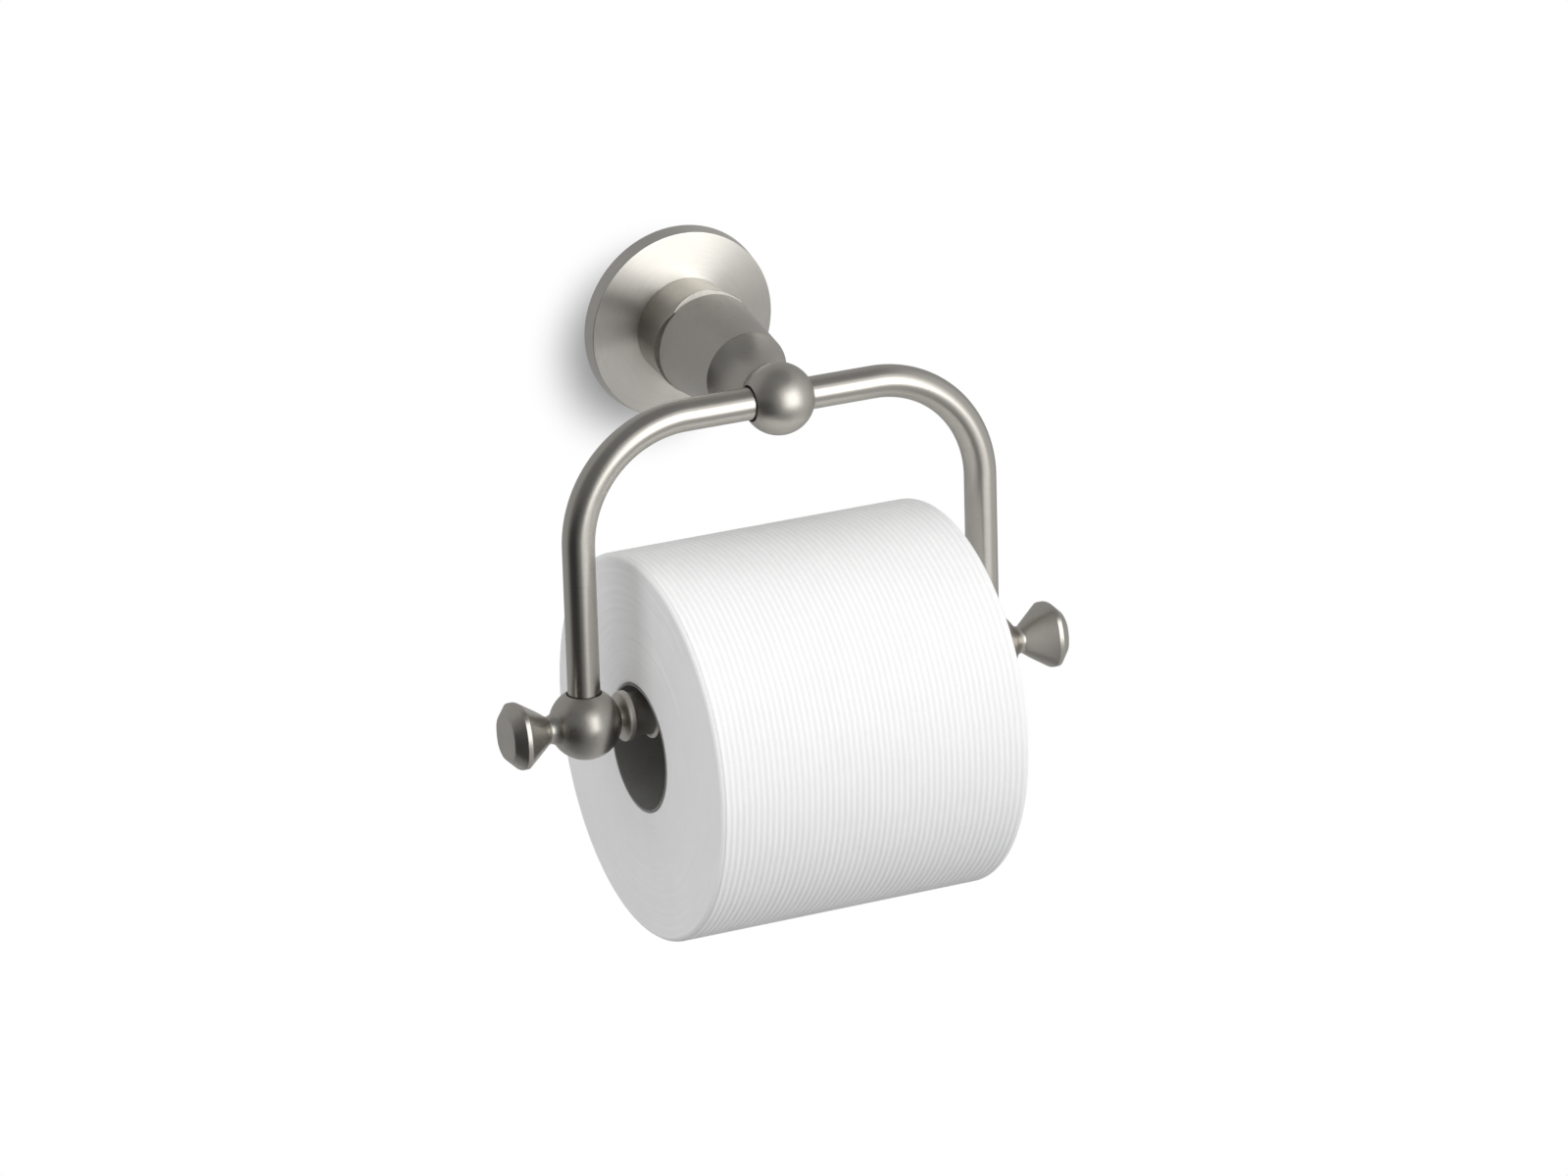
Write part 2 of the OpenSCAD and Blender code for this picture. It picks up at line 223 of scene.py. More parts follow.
class Shader:
    """A node material built with few words."""

    def __init__(self, name):
        self.mat = bpy.data.materials.new(name)
        self.mat.use_nodes = True
        self.nt = self.mat.node_tree
        self.bsdf = self.nt.nodes["Principled BSDF"]

    def node(self, kind, inputs=None, **settings):
        n = self.nt.nodes.new("ShaderNode" + kind)
        for key, value in settings.items():
            setattr(n, key, value)
        for key, value in (inputs or {}).items():
            if isinstance(value, bpy.types.NodeSocket):
                self.nt.links.new(value, n.inputs[key])
            else:
                n.inputs[key].default_value = value
        return n

    def here(self):
        return self.node("TexCoord").outputs["Object"]

    def math(self, operation, a, b=0.0):
        return self.node("Math", {0: a, 1: b}, operation=operation).outputs[0]

    def mix(self, first, second, share):
        """A share of the first value, and the rest from the second."""
        return self.math("ADD", self.math("MULTIPLY", first, share), self.math("MULTIPLY", second, 1 - share))

    def noise(self, vector, scale, detail=3.0, rough=0.55):
        n = self.node("TexNoise", {"Vector": vector, "Scale": scale, "Detail": detail, "Roughness": rough})
        return n.outputs["Fac"]

    def spread(self, value, low, high, start=0.3, end=0.7):
        """Maps start..end of a value onto low..high."""
        n = self.node("MapRange", {0: value, 1: start, 2: end, 3: low, 4: high})
        return n.outputs[0]

    def blend(self, factor, dark, light, start=0.3, end=0.7):
        n = self.node("ValToRGB", {0: factor})
        n.color_ramp.elements[0].position, n.color_ramp.elements[0].color = start, (*dark, 1)
        n.color_ramp.elements[1].position, n.color_ramp.elements[1].color = end, (*light, 1)
        return n.outputs["Color"]

    def around(self, place):
        """Unit direction round a piece's axis, then the distances from it and along it in millimetres."""
        inverse = (Matrix.Scale(MM, 4) @ place).inverted()
        where = self.node("TexCoord").outputs["Object"]
        turn = inverse.to_3x3().normalized().to_euler()
        mapped = self.node("Mapping", {"Vector": where, "Location": inverse.to_translation(),
                                       "Rotation": turn, "Scale": (1 / MM,) * 3}).outputs["Vector"]
        xyz = self.node("SeparateXYZ", {0: mapped})
        flat = self.node("CombineXYZ", {0: xyz.outputs[0], 1: xyz.outputs[1]}).outputs[0]
        radius = self.node("VectorMath", {0: flat}, operation="LENGTH").outputs["Value"]
        direction = self.node("VectorMath", {0: flat}, operation="NORMALIZE").outputs["Vector"]
        return direction, radius, xyz.outputs[2]

    def wrap(self, direction, turnwise, distance, crosswise):
        """A texture position scaled by one factor round an axis and by another across the grain."""
        turned_by = self.node("VectorMath", {0: direction, "Scale": turnwise}, operation="SCALE").outputs[0]
        split = self.node("SeparateXYZ", {0: turned_by})
        across = self.math("MULTIPLY", distance, crosswise)
        return self.node("CombineXYZ", {0: split.outputs[0], 1: split.outputs[1], 2: across}).outputs[0]

    def set(self, **values):
        for key, value in values.items():
            socket = self.bsdf.inputs[key.replace("_", " ")]
            if isinstance(value, bpy.types.NodeSocket):
                self.nt.links.new(value, socket)
            else:
                socket.default_value = value
        return self

    def bump(self, height, strength, distance):
        n = self.node("Bump", {"Height": height, "Strength": strength, "Distance": distance})
        self.nt.links.new(n.outputs["Normal"], self.bsdf.inputs["Normal"])


def comb(s, anisotropy):
    """Spreads highlights across the grain, which runs along the UV map's U and so needs a quarter turn."""
    s.set(Anisotropic=anisotropy, Anisotropic_Rotation=0.25)
    tangent = s.node("Tangent", direction_type="UV_MAP", uv_map="grain").outputs[0]
    s.nt.links.new(tangent, s.bsdf.inputs["Tangent"])


def brushed(name, place, tone=NICKEL, rough=0.30, grain=1.0, stretch=5.0, anisotropy=0.55):
    """Satin nickel with its grain running round the piece's axis."""
    s = Shader(name)
    direction, radius, axial = s.around(place)
    distance = s.math("ADD", radius, s.math("MULTIPLY", axial, 1.37))
    fine = s.noise(s.wrap(direction, stretch, distance, 7.0), 1.0, 4.0, 0.65)
    broad = s.noise(s.wrap(direction, stretch * 0.6, distance, 2.2), 1.0, 4.0, 0.65)
    streak = s.mix(fine, broad, 0.55)
    worn = s.mix(streak, s.noise(s.here(), 90.0, 4.0, 0.6), 0.75)
    s.set(Base_Color=s.blend(worn, scaled(tone, 0.93), scaled(tone, 1.06), *SPAN), Metallic=1.0,
          Roughness=s.spread(worn, rough - 0.045 * grain, rough + 0.06 * grain, *SPAN))
    comb(s, anisotropy)
    s.bump(streak, 0.09 * grain, 0.00012)
    return s.mat


def brushed_tube(name):
    """Satin nickel with its grain running round a bent tube, by the tube's UV map."""
    s = Shader(name)
    rings = s.node("UVMap", uv_map="grain").outputs[0]
    drawn = s.node("Mapping", {"Vector": rings, "Scale": (5.0, 2600.0, 1.0)}).outputs[0]
    fine = s.noise(drawn, 1.0, 4.0, 0.6)
    worn = s.mix(fine, s.noise(s.here(), 60.0, 3.0, 0.5), 0.6)
    s.set(Base_Color=s.blend(worn, NICKEL, NICKEL_LIGHT), Metallic=1.0,
          Roughness=s.spread(worn, 0.27, 0.31, *SPAN))
    comb(s, 0.55)
    s.bump(fine, 0.02, 0.00005)
    return s.mat


def plain_metal(name, tone, rough, scale=900.0):
    """Plated or blackened hardware, with fine mottling."""
    s = Shader(name)
    fine, broad = s.noise(s.here(), scale, 4.0), s.noise(s.here(), scale / 6, 3.0)
    mottle = s.mix(fine, broad, 0.5)
    s.set(Base_Color=s.blend(mottle, scaled(tone, 0.8), tone), Metallic=1.0,
          Roughness=s.spread(mottle, rough - 0.07, rough + 0.1))
    s.bump(fine, 0.12, 0.0001)
    return s.mat


def moulded(name, tone, rough):
    """Moulded nylon with a fine spark-eroded skin."""
    s = Shader(name)
    fine, broad = s.noise(s.here(), 2600.0, 2.0), s.noise(s.here(), 160.0, 3.0)
    s.set(Base_Color=s.blend(broad, scaled(tone, 0.86), tone),
          Roughness=s.spread(fine, rough - 0.06, rough + 0.08))
    s.bump(fine, 0.2, 0.00006)
    return s.mat


def tissue(name):
    """Creped white paper: fine cross ridges between the rolled ribs, with soft fibres and painted shade that
    darkens the hollows between the ribs.
    """
    s = Shader(name)
    direction, _, axial = s.around(ROLL_AXIS)
    fibres = s.noise(s.here(), 2300.0, 5.0, 0.7)
    cloud = s.noise(s.here(), 60.0, 4.0, 0.6)
    crepe = s.noise(s.wrap(direction, 115.0, axial, 0.55), 1.0, 2.0, 0.5)
    rib = s.node("Attribute", attribute_name="rib").outputs["Fac"]
    # Painted shade: the colour darkens where the ribs' height is low, in the hollows between them.
    painted_groove_shade = s.spread(rib, -0.55, 0.35, -1.0, 1.0)
    mottle = s.math("ADD", s.mix(cloud, crepe, 0.6), painted_groove_shade)
    s.set(Base_Color=s.blend(mottle, (0.85, 0.85, 0.85), (0.925, 0.925, 0.925), 0.0, 0.9),
          Roughness=0.95, Specular_IOR_Level=0.15)
    s.bump(s.mix(crepe, fibres, 0.7), 0.35, 0.00030)
    return s.mat


def wound_edge(name):
    """The end of the wound paper: many thin layers edge on."""
    s = Shader(name)
    direction, radius, _ = s.around(ROLL_AXIS)
    layers = s.noise(s.wrap(direction, 1.3, radius, 2.4), 1.0, 4.0, 0.7)
    cloud = s.noise(s.here(), 45.0, 4.0, 0.6)
    fibres = s.noise(s.here(), 2600.0, 4.0, 0.7)
    s.set(Base_Color=s.blend(s.mix(layers, cloud, 0.45), (0.84, 0.84, 0.845), (0.90, 0.90, 0.902)),
          Roughness=0.95, Specular_IOR_Level=0.1)
    s.bump(s.mix(layers, fibres, 0.7), 0.35, 0.0003)
    return s.mat


def board(name):
    """Grey wound board, with the spiral seam of a paper tube."""
    seam_pitch, seam_width = 62.0, 0.012
    s = Shader(name)
    direction, _, axial = s.around(ROLL_AXIS)
    split = s.node("SeparateXYZ", {0: direction})
    turn = s.math("MULTIPLY", s.math("ARCTAN2", split.outputs[1], split.outputs[0]), 1 / (2 * math.pi))
    spiral = s.math("FRACT", s.math("ADD", turn, s.math("MULTIPLY", axial, 1 / seam_pitch)))
    seam = s.math("LESS_THAN", spiral, seam_width)
    fibres, cloud = s.noise(s.here(), 1800.0, 5.0, 0.7), s.noise(s.here(), 70.0, 4.0)
    tone = s.math("SUBTRACT", s.mix(fibres, cloud, 0.4), s.math("MULTIPLY", seam, 0.25))
    s.set(Base_Color=s.blend(tone, (0.22, 0.217, 0.213), (0.30, 0.296, 0.29)),
          Roughness=0.92, Specular_IOR_Level=0.1)
    s.bump(s.math("SUBTRACT", fibres, seam), 0.3, 0.0002)
    return s.mat


# ---------- flange, collar and post ----------

# Painted light: the flange's nickel is a lighter tone than the post's, standing in for the brighter light on
# its face.
lighter_flange_nickel = brushed("flange_nickel_painted_lighter", WALL, tone=(0.67, 0.65, 0.605), rough=0.30, grain=0.45,
                      stretch=4.0, anisotropy=0.9)
nickel_post = brushed("nickel_post", WALL, rough=0.29, grain=0.7, stretch=5.0, anisotropy=0.6)

flange_profile = soften([
    (FLANGE_HOLE, FOOT, 0), (COLLAR_FOOT, FOOT, 0), (FLANGE - 0.8, 5.6, 0.3), (FLANGE, 0.0, 0.15),
    (FLANGE - 1.5, 0.0, 0.1), (FLANGE - 2.3, 4.1, 0.5), (COLLAR_FOOT, FOOT - 1.5, 0.5),
    (FLANGE_HOLE, FOOT - 1.5, 0.1)], closed=True)
flange = turned("flange_rose", flange_profile, WALL, 256)
finish_piece(flange, lighter_flange_nickel, "mount", "flange", slot="brushed_nickel")


def collar_ring(segments=360):
    """The collar's profile changes round it, because four sloping flats cut its front edge."""
    columns = []
    for i in range(segments):
        t = 2 * math.pi * i / segments
        off = (t + math.pi / 4) % (math.pi / 2) - math.pi / 4
        start = min(FRONT - FACET + COLLAR * (1 - math.cos(off)) * TILT, FRONT - 0.06)
        front_r = min((COLLAR - FACET / TILT) / math.cos(off), COLLAR - 0.06)
        profile = soften([
            (COLLAR_HOLE, FOOT + 0.02, 0.05), (COLLAR_FOOT, FOOT + 0.02, 0.25),
            (COLLAR, FRONT - FACET - 0.01, 0.1), (COLLAR, max(start, FRONT - FACET + 0.05), 0.18),
            (front_r, FRONT, 0.15), (STUD_HOLE, FRONT, 0.1), (STUD_HOLE, FRONT - 4, 0.1),
            (COLLAR_HOLE, FRONT - 4, 0.2)], closed=True, hold=0.0001, steps=5)
        columns.append([(r * math.cos(t), r * math.sin(t), h) for r, h in profile])
    return [[c[k] for c in columns] for k in range(min(len(c) for c in columns))]


collar = skin("post_collar", collar_ring(), WALL, loop=True)
finish_piece(collar, nickel_post, "mount", "collar", slot="brushed_nickel")

neck_at = POST_SEAT - 1.6
cove_r = ((neck_at - RING_AT) ** 2 + (RING - NECK) ** 2) / (2 * (RING - NECK))
cove_start = math.degrees(math.asin((neck_at - RING_AT) / cove_r))
cove = arc((NECK + cove_r, neck_at), cove_r, 180 + cove_start, 180, 48)
post_profile = (
    soften([(STUD_HOLE, FRONT, 0), (SEAM_R, FRONT, 0), (SEAM_R, FRONT + SEAM, 0),
            (POST_FOOT, FRONT + SEAM, 0.28), (RING, RING_AT, 0.45), cove[3]])[:-1]
    + cove[3:]
    + soften([cove[-1], (NECK, neck_at + 0.05, 0.05), (LIP, neck_at + 0.05, 0.35),
              (LIP, POST_SEAT - 0.2, 0.35), (LIP - 0.5, POST_SEAT, 0.1), (STUD_HOLE, POST_SEAT, 0)])[1:])
post = turned("post_cone", post_profile, WALL, 224)
finish_piece(post, nickel_post, "mount", "post", slot="brushed_nickel")

# ---------- pivot ball ----------

PIVOT = Matrix.Translation((0, -REACH, 0)) @ ALONG_X
edge = math.degrees(math.asin(BORE / BALL))
reach_x = BALL * math.cos(math.radians(edge))
sphere = [(BALL * math.sin(t), BALL * math.cos(t)) for t in np.radians(np.linspace(180 - edge, edge, 91))]
ball_profile = soften([(BORE, -reach_x, 0.18), *sphere[1:-1], (BORE, reach_x, 0.18)], closed=True)
pivot = turned("pivot_knuckle", ball_profile, PIVOT, 192)
for v in pivot.data.vertices:
    v.co.y = min(v.co.y, -POST_SEAT * MM)
nickel_ball = brushed("nickel_ball", PIVOT, rough=0.37, grain=0.6, stretch=6.0, anisotropy=0.2)
finish_piece(pivot, nickel_ball, "mount", "pivot_ball", slot="brushed_nickel")

# ---------- bail ----------


def bail_path():
    """Centre line points and the direction along them, from the left leg's foot to the right one's."""
    bar, foot = LEG_X - BEND, DROP - 2.5
    points = [((-LEG_X, -z), (0, 1)) for z in (foot, foot - 0.5, 95, 85, 75, 65, 55, 45, BEND + 1)]
    for t in np.linspace(0, math.pi / 2, 49):
        points.append(((-bar - BEND * math.cos(t), -BEND + BEND * math.sin(t)), (math.sin(t), math.cos(t))))
    points += [((x, 0), (1, 0)) for x in np.linspace(-bar + 1, 0, 8)]
    right = [((-p[0], p[1]), (d[0], -d[1])) for p, d in reversed(points[:-1])]
    return points + right


def tube_rows(radius, segments=96):
    """Circles round the centre line, all in step, so that the grain follows the bends."""
    t = full_turn(segments)
    rows = []
    for (x, z), (dx, dz) in bail_path():
        circle = np.outer(np.cos(t), [-dz, 0, dx]) + np.outer(np.sin(t), [0, 1, 0])
        rows.append(np.array([x, 0, z]) + radius * circle)
    return rows


bail = skin("bail_bow", tube_rows(TUBE) + tube_rows(TUBE - TUBE_WALL)[::-1], BAIL, loop=True)
finish_piece(bail, brushed_tube("nickel_tube"), "bail", "bail_tube", slot="brushed_nickel")

# ---------- ends: ball, neck and squared finial ----------

NECK_R, HEAD_R, HALF_FLAT, SIDE_R = 4.7, 12.15, 11.3, 18.0
NECK_AT, RIM_AT, BAND, END_AT, FILLET = 14.2, 24.0, 1.6, 29.2, 4.0
FINIAL_TURN = math.radians(6)


def eased(heights, values, at, width=0.3):
    """A broken line's value at a height, rounded over a short width."""
    steps = np.linspace(-width / 2, width / 2, 9)
    return float(np.mean(np.interp(at + steps, heights, values)))


def finial_radius(h, off):
    """Radius at a height and an angle from a flat's middle: the turned form cut by four hollow sides."""
    turned_r = eased((NECK_AT, RIM_AT, RIM_AT + BAND, END_AT), (NECK_R, HEAD_R, HEAD_R, HEAD_R - 4.0), h)
    neck = SIDE_R - HALF_FLAT + NECK_R + 0.5
    side = eased((NECK_AT + 0.3, RIM_AT, RIM_AT + BAND, END_AT), (neck, SIDE_R, SIDE_R, SIDE_R - 3.5), h)
    centre = HALF_FLAT - SIDE_R
    flat_r = centre * math.cos(off) + math.sqrt(side**2 - (centre * math.sin(off)) ** 2)
    return (turned_r**-110 + flat_r**-110) ** (-1 / 110)


def end_rows(segments=256):
    """Rings along the finial's axis, from inside the ball to the end of the head."""
    fy = NECK_R + FILLET
    fx = math.sqrt((BALL + FILLET) ** 2 - fy**2)
    begin = math.asin(PIN_HOLE / BALL)
    mouth = -BALL * math.cos(begin)
    profile = [(0, -BALL + 6.2), (PIN_HOLE, -BALL + 6.2), (PIN_HOLE, -BALL + 6.8), (PIN_HOLE, mouth + 0.2),
               (3.7, mouth + 0.02)]
    meet = math.atan2(fy, fx)
    for t in np.linspace(math.pi - begin - 0.03, meet, 80):
        profile.append((BALL * math.sin(t), BALL * math.cos(t)))
    for t in np.linspace(math.atan2(-fx, -fy), -math.pi, 16)[1:]:
        profile.append((fy + FILLET * math.cos(t), fx + FILLET * math.sin(t)))
    rows = [ring(r, h, segments) for r, h in profile]
    angles = full_turn(segments)
    offs = (angles + math.pi / 4) % (math.pi / 2) - math.pi / 4
    heights = [*np.linspace(fx + 0.35, RIM_AT - 0.4, 22), *np.linspace(RIM_AT - 0.3, RIM_AT + 0.3, 9),
               *np.linspace(RIM_AT + BAND - 0.3, RIM_AT + BAND + 0.3, 9),
               *np.linspace(RIM_AT + BAND + 0.5, END_AT - 0.5, 8)]
    edge_r = 0.4
    heights += [END_AT - edge_r * (1 - math.sin(t)) for t in np.linspace(0.05, math.pi / 2, 7)]
    for h in heights:
        inset = 0.0
        if h > END_AT - edge_r:
            inset = edge_r - math.sqrt(max(0.0, edge_r**2 - (h - END_AT + edge_r) ** 2))
        radii = np.array([finial_radius(min(h, END_AT), off) for off in offs]) - inset
        rows.append(round_row(angles, radii, h))
    last = rows[-1]
    for share in (0.94, 0.6, 0.3, 0.0):
        rows.append(last * (share, share, 1.0))
    return rows


def grub_hole(side):
    """A cutter for the grub screw's hole at the back of an end ball."""
    behind_ball = Matrix.Translation((side * LEG_X, BALL + 1, 6 - DROP))
    place = BAIL @ behind_ball @ Matrix.Rotation(math.pi / 2, 4, "X")
    depth = BALL + 1 - TUBE + 1.6
    return turned("grub_cut", [(0, 0), (GRUB_HOLE, 0), (GRUB_HOLE, depth), (0, depth)], place, 48, loop=False)


def leg_socket(place):
    """A cutter for the leg's blind socket, with a shadow gap at its mouth."""
    floor, gap_at, gap_r = 2.5, BALL - 3.4, TUBE + 0.55
    profile = soften([(0, floor, 0), (TUBE, floor, 0.05), (TUBE, gap_at, 0.05), (gap_r, gap_at, 0.1),
                      (gap_r, BALL + 3, 0), (0, BALL + 3, 0)])
    return turned("leg_cut", profile, place, 128, loop=False)


end_shape = end_rows()
for side, name, node in ((-1, "finial_end_left", "left_finial"), (1, "finial_end_right", "right_finial")):
    upright = BAIL @ Matrix.Translation((side * LEG_X, 0, -DROP))
    place = upright @ Matrix.Rotation(-FINIAL_TURN, 4, "X") @ Matrix.Rotation(side * math.pi / 2, 4, "Y")
    end = skin(name, end_shape, place)
    cut(end, leg_socket(upright))
    cut(end, grub_hole(side))
    nickel_end = brushed("nickel_end_" + node, place, rough=0.33, grain=0.6, stretch=5.0, anisotropy=0.3)
    finish_piece(end, nickel_end, "bail", node, slot="brushed_nickel")

# ---------- roller ends ----------

SLEEVE, SLEEVE_WALL, FIT = 9.1, 0.8, 0.07
BEAD_AT, BEAD, BEAD_W, SHOULDER, SHOULDER_AT, SHOULDER_W = LEG_X - BALL - 0.4, 8.6, 2.6, 9.4, 52.0, 3.0
PIN, PIN_LENGTH = 3.5, 4.6


def roller_end(plug):
    """Outline of a roller end along its axis: plug, shoulder, cove, bead and pin."""
    start = SHOULDER_AT - SHOULDER_W
    cove_len = BEAD_AT - BEAD_W - SHOULDER_AT
    waist, sweep = BEAD - 1.2, 14.0
    rise = math.degrees(math.asin(cove_len / 2 / sweep))
    curve = arc((waist + sweep, SHOULDER_AT + cove_len / 2), sweep, 180 + rise, 180 - rise, 16)
    return soften([
        (0, start - 1, 0), (plug - 1.8, start - 1, 0), (plug - 1.8, start - 9, 0), (plug, start - 9, 0),
        (plug, start, 0.05), (SHOULDER, start, 0.3), (SHOULDER, SHOULDER_AT, 0.5), *curve,
        (BEAD, BEAD_AT - BEAD_W, 0.4), (BEAD, BEAD_AT, 0.7), (PIN, BEAD_AT, 0.05),
        (PIN, BEAD_AT + PIN_LENGTH, 0.4), (0, BEAD_AT + PIN_LENGTH, 0)])


nickel_roller = brushed("nickel_roller", ROLLER, tone=(0.64, 0.615, 0.565), rough=0.38, anisotropy=0.4)
outer_plug = SLEEVE - SLEEVE_WALL
turned_about = ROLLER @ Matrix.Rotation(math.pi, 4, "X")
left_end = turned("roller_end_left", roller_end(outer_plug), turned_about, 128, loop=False)
finish_piece(left_end, nickel_roller, "roller", "roller_cap_left", slot="roller_nickel")
inner_plug = outer_plug - FIT - SLEEVE_WALL
right_end = turned("roller_end_right", roller_end(inner_plug), ROLLER, 128, loop=False)
finish_piece(right_end, nickel_roller, "roller_end", "roller_cap_right", slot="roller_nickel")

# ---------- paper roll ----------

rng = np.random.default_rng(7)
PITCH, RIB, EDGE = 2.2, 0.17, 1.5
FACE_END = ROLL - EDGE - 0.9


def rib_at(t, x):
    """Height of the embossed ribs, from -1 to 1, at an angle round the roll and a distance along it."""
    wander = 0.35 * np.sin(3 * t + x * 0.02) + 0.2 * np.sin(7 * t + 1.3) + 0.12 * np.sin(23 * t + 0.05 * x)
    fade = np.clip((ROLL_HALF - EDGE - np.abs(x)) / 1.2 + 0.25, 0.0, 1.0)
    return fade * np.cos(2 * math.pi * (x / PITCH) + wander)


def paper_rows(segments=420):
    """Rings of the wound paper: bore's lip, layered end, rounded corner, ribbed outside, and back again."""
    t = full_turn(segments)
    inner = CORE + CORE_WALL

    def wave(amount, terms):
        return amount * sum(math.cos(p) * np.cos(k * t + p) for k, p in terms)

    def end_face(sign):
        rows = []
        for r in np.linspace(inner + 1.0, FACE_END, 54):
            calm = min(1.0, (FACE_END - r) / 3)
            step = 0.03 * rng.standard_normal()
            ripple = calm * (step + wave(0.05, [(k, rng.uniform(0, 6.3)) for k in (1, 2, 3, 5)]))
            dish = 0.25 * math.sin(math.pi * (r - inner) / (ROLL - inner))
            rows.append(round_row(t, r, sign * (ROLL_HALF - 0.1 - dish + np.minimum(ripple, 0.08))))
        return rows

    sag = [(k, rng.uniform(0, 6.3)) for k in (2, 3, 5, 7)]

    def outside():
        rows = []
        tail = np.interp((t - math.radians(35)) % (2 * math.pi), [0, 0.02, 2.6, 6.28], [0.3, 0.0, 0.0, 0.3])
        reach = ROLL_HALF - EDGE
        for x in np.arange(-reach, reach + 1e-6, PITCH / 7):
            r = ROLL - 0.42 + RIB * rib_at(t, x) + wave(0.06, sag) + tail * 0.9
            rows.append(round_row(t, r, x))
        return rows

    def corner(sign, first):
        rows = []
        steps = np.radians(np.linspace(4, 86, 9))
        for a in steps if first else steps[::-1]:
            r = ROLL - 0.5 - EDGE * (1 - math.sin(a))
            h = ROLL_HALF - 0.1 - EDGE * (1 - math.cos(a))
            rows.append(round_row(t, r + wave(0.08, sag), sign * h))
        return rows

    lip = [(inner + 0.02, ROLL_HALF - 3.0), (inner + 0.02, ROLL_HALF - 1.0), (inner + 0.12, ROLL_HALF - 0.5),
           (inner + 0.45, ROLL_HALF - 0.2)]
    rows = [ring(r, -h, segments) for r, h in lip]
    rows += end_face(-1) + corner(-1, True) + outside() + corner(1, False) + end_face(1)[::-1]
    rows += [ring(r, h, segments) for r, h in reversed(lip)]
    return rows


roll = skin("tissue_roll", paper_rows(), ROLL_AXIS, loop=True)
# Rib heights on the points, which the paper's colour reads to paint shade into the hollows between the ribs.
local = np.array([v.co for v in roll.data.vertices]) / MM - np.array(ROLL_AXIS)[:3, 3]
local = local @ np.array(ROLL_AXIS)[:3, :3]
on_side = np.hypot(local[:, 0], local[:, 1]) > ROLL - 1.4
ribs = np.where(on_side, rib_at(np.arctan2(local[:, 1], local[:, 0]), local[:, 2]), 0.0)
roll.data.attributes.new("rib", "FLOAT", "POINT").data.foreach_set("value", ribs.astype(np.float32))
finish_piece(roll, tissue("tissue"), "roll", "paper_roll", slot="paper")
roll.data.materials.append(wound_edge("wound_edge"))
axis_y, axis_z = ROLL_AXIS[1][3] * MM, ROLL_AXIS[2][3] * MM
for poly in roll.data.polygons:
    c = poly.center
    r = math.hypot(c.y - axis_y, c.z - axis_z) / MM
    if r < ROLL - 2.2 and abs(c.x) / MM > ROLL_HALF - 4:
        poly.material_index = 1

core_outer, core_half = CORE + CORE_WALL - 0.02, ROLL_HALF - 0.15
core_profile = soften([(CORE, -core_half, 0.1), (CORE, core_half, 0.1), (core_outer, core_half, 0.1),
                       (core_outer, -core_half, 0.1)], closed=True)
core = turned("board_core", core_profile, ROLL_AXIS, 160)
finish_piece(core, board("board"), "roll", "roll_core", slot="cardboard")

# ---------- carried-over CAD pieces ----------

zinc = plain_metal("zinc", (0.62, 0.63, 0.66), 0.34)
wire = plain_metal("wire", (0.42, 0.42, 0.44), 0.3, 1500.0)
black = plain_metal("black_oxide", (0.05, 0.05, 0.055), 0.42, 1200.0)
nylon_black = moulded("nylon_black", (0.02, 0.02, 0.021), 0.5)
sleeve = plain_metal("sleeve_metal", (0.60, 0.58, 0.53), 0.40, 700.0)
for names, mat in (
    (("wall_plate", "wall_screws", "post_stud", "stud_nut", "stud_washer"), zinc),
    (("roller_spring",), wire),
    (("grub_screw", "leg_pins"), black),
    (("pivot_bush_left", "pivot_bush_right"), nylon_black),
    (("roller_outer_sleeve", "roller_inner_sleeve"), sleeve),
):
    for obj in (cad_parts[name] for name in names):
        if not obj.material_slots:
            obj.data.materials.append(mat)
        for held in obj.material_slots:
            held.material = mat

# ---------- studio ----------


def panel(name, size, location, look_at, power):
    """A square area light turned towards a point."""
    data = bpy.data.lights.new(name, "AREA")
    data.shape, data.size, data.size_y, data.energy = "RECTANGLE", size, size, power
    obj = bpy.data.objects.new(name, data)
    scene.collection.objects.link(obj)
    obj.location = location
    obj.rotation_euler = (Vector(look_at) - Vector(location)).to_track_quat("-Z", "Y").to_euler()
    return obj


def card(name, corners, material):
    """One flat face that is no part of the object."""
    mesh = bpy.data.meshes.new(name)
    mesh.from_pydata(corners, [], [(0, 1, 2, 3)])
    mesh.materials.append(material)
    obj = bpy.data.objects.new(name, mesh)
    scene.collection.objects.link(obj)
    return obj


def floor_paint():
    """White that lights itself, so that no shadow falls on it."""
    s = Shader("floor")
    pale = s.blend(s.noise(s.here(), 2.0), (0.98, 0.98, 0.98), (1.0, 1.0, 1.0))
    s.set(Base_Color=(0.1, 0.1, 0.1, 1), Emission_Color=pale, Emission_Strength=1.0, Roughness=0.9)
    return s.mat


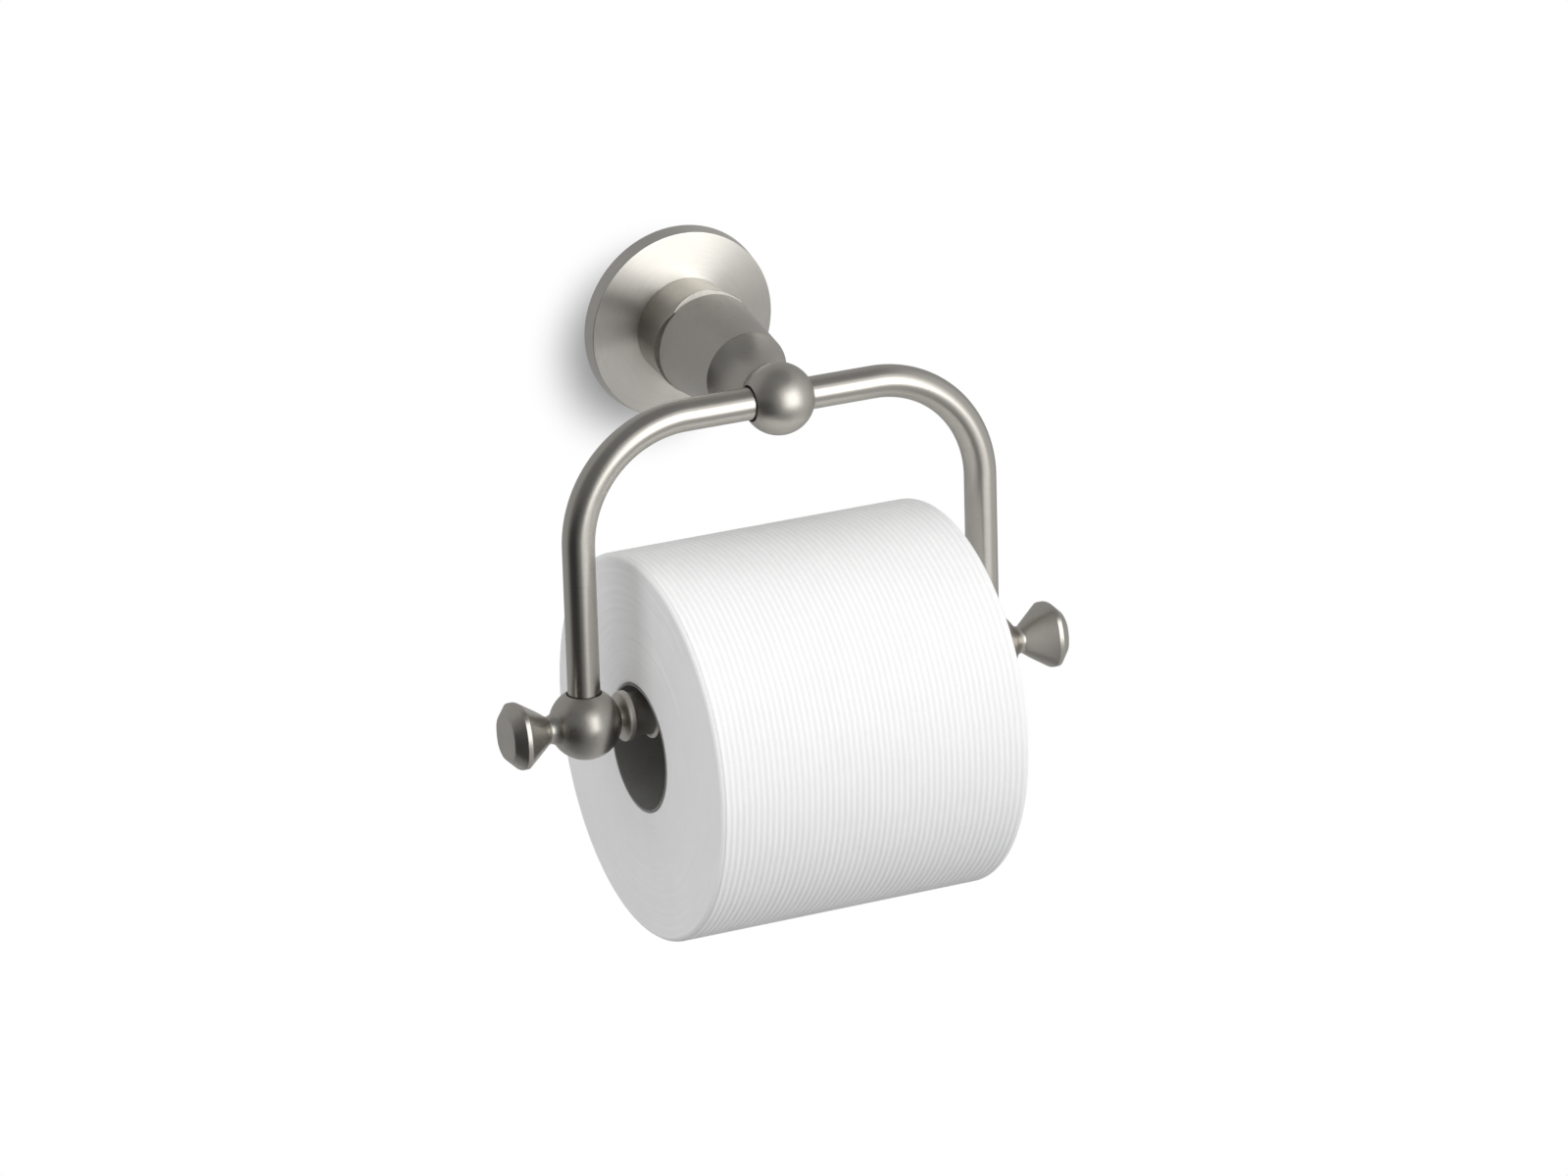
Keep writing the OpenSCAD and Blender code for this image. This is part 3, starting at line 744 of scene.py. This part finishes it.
def shade_paint(centre, inner, outer, strength):
    """Clear, with a dark, soft-edged spot that only the camera sees and only from the front."""
    s = Shader("wall_shade")
    where = s.here()
    centred = s.node("VectorMath", {0: where, 1: centre}, operation="SUBTRACT").outputs[0]
    far = s.node("VectorMath", {0: centred}, operation="LENGTH").outputs["Value"]
    ramp = {0: far, 1: outer, 2: inner, 3: 0.0, 4: strength}
    soft = s.node("MapRange", ramp, interpolation_type="SMOOTHERSTEP").outputs[0]
    speck = s.math("ADD", 0.98, s.math("MULTIPLY", s.noise(where, 300.0), 0.04))
    front = s.math("SUBTRACT", 1.0, s.node("NewGeometry").outputs["Backfacing"])
    seen = s.math("MULTIPLY", front, s.node("LightPath").outputs["Is Camera Ray"])
    dark = s.node("Emission", {"Color": (0.17, 0.17, 0.175, 1), "Strength": 1.0}).outputs[0]
    clear = s.node("BsdfTransparent").outputs[0]
    share = s.math("MULTIPLY", s.math("MULTIPLY", soft, speck), seen)
    mixed = s.node("MixShader", {0: share, 1: clear, 2: dark}).outputs[0]
    s.nt.links.new(mixed, s.nt.nodes["Material Output"].inputs["Surface"])
    return s.mat


FLOOR = -0.50
floor = card("floor", [(-3, -3.5, FLOOR), (3, -3.5, FLOOR), (3, 0, FLOOR), (-3, 0, FLOOR)], floor_paint())
floor.visible_glossy = floor.visible_diffuse = False

# The photo's wall is pure white except for the flange's soft shade, so the card carries that shade alone.
CARD_Y = 0.0002
shade_corners = [(-0.08, CARD_Y, -0.08), (0.03, CARD_Y, -0.08), (0.03, CARD_Y, 0.06), (-0.08, CARD_Y, 0.06)]
wall_shade = card("wall_shade", shade_corners, shade_paint((-0.011, 0.0, -0.007), 0.014, 0.048, 0.85))


centre = (0, -0.08, -0.05)


def toward(azimuth, elevation, distance):
    """A point at a distance from the middle of the object."""
    a, e = math.radians(azimuth), math.radians(elevation)
    x, y, z = math.sin(a) * math.cos(e), -math.cos(a) * math.cos(e), math.sin(e)
    return (centre[0] + distance * x, centre[1] + distance * y, centre[2] + distance * z)


panel("key", 1.0, toward(20, 15, 1.25), centre, 5.2)
panel("key_wide", 1.9, toward(20, 20, 1.35), centre, 5.7)
left_fill = panel("left_fill", 2.2, toward(-80, 5, 1.3), centre, 12.5)
top_fill = panel("top_fill", 2.0, toward(-10, 80, 1.3), centre, 10.0)
left_fill.visible_glossy = top_fill.visible_glossy = False

world = bpy.data.worlds.new("studio")
scene.world = world
world.use_nodes = True
nt = world.node_tree
nt.nodes.clear()
coord = nt.nodes.new("ShaderNodeTexCoord")
split = nt.nodes.new("ShaderNodeSeparateXYZ")
nt.links.new(coord.outputs["Generated"], split.inputs[0])


def eased_range(value, start, end, low, high):
    """Goes smoothly from low to high while a value goes from start to end."""
    n = nt.nodes.new("ShaderNodeMapRange")
    n.interpolation_type = "SMOOTHSTEP"
    for k, v in ((1, start), (2, end), (3, low), (4, high)):
        n.inputs[k].default_value = v
    nt.links.new(value, n.inputs[0])
    return n.outputs[0]


def between(factor, first, second):
    """From the first strength to the second, by a factor."""
    n = nt.nodes.new("ShaderNodeMix")
    for k, v in ((0, factor), (2, first), (3, second)):
        if isinstance(v, bpy.types.NodeSocket):
            nt.links.new(v, n.inputs[k])
        else:
            n.inputs[k].default_value = v
    return n.outputs[0]


# What the metal mirrors: grey on the left, paler on the right, the wall's glow behind, a dim ceiling and
# one dark flag low on the left. The camera itself sees plain white.
sides = eased_range(split.outputs[0], -0.5, 0.8, 0.19, 0.62)
behind = between(eased_range(split.outputs[1], 0.0, 0.5, 0.0, 1.0), sides, 0.42)
above = between(eased_range(split.outputs[2], 0.70, 0.92, 0.0, 1.0), behind, 0.24)
toward_flag = nt.nodes.new("ShaderNodeVectorMath")
toward_flag.operation = "DOT_PRODUCT"
nt.links.new(coord.outputs["Generated"], toward_flag.inputs[0])
toward_flag.inputs[1].default_value = (-0.83, -0.46, -0.31)
strength = between(eased_range(toward_flag.outputs["Value"], 0.78, 0.96, 0.0, 1.0), above, 0.04)
surround = nt.nodes.new("ShaderNodeBackground")
nt.links.new(strength, surround.inputs["Strength"])
white = nt.nodes.new("ShaderNodeBackground")
white.inputs["Strength"].default_value = 1.0
path = nt.nodes.new("ShaderNodeLightPath")
mixer = nt.nodes.new("ShaderNodeMixShader")
nt.links.new(path.outputs["Is Camera Ray"], mixer.inputs[0])
nt.links.new(surround.outputs[0], mixer.inputs[1])
nt.links.new(white.outputs[0], mixer.inputs[2])
for background in (surround, white):
    background.inputs["Color"].default_value = (1, 1, 1, 1)
out = nt.nodes.new("ShaderNodeOutputWorld")
nt.links.new(mixer.outputs[0], out.inputs["Surface"])
scene.view_settings.view_transform = "Standard"
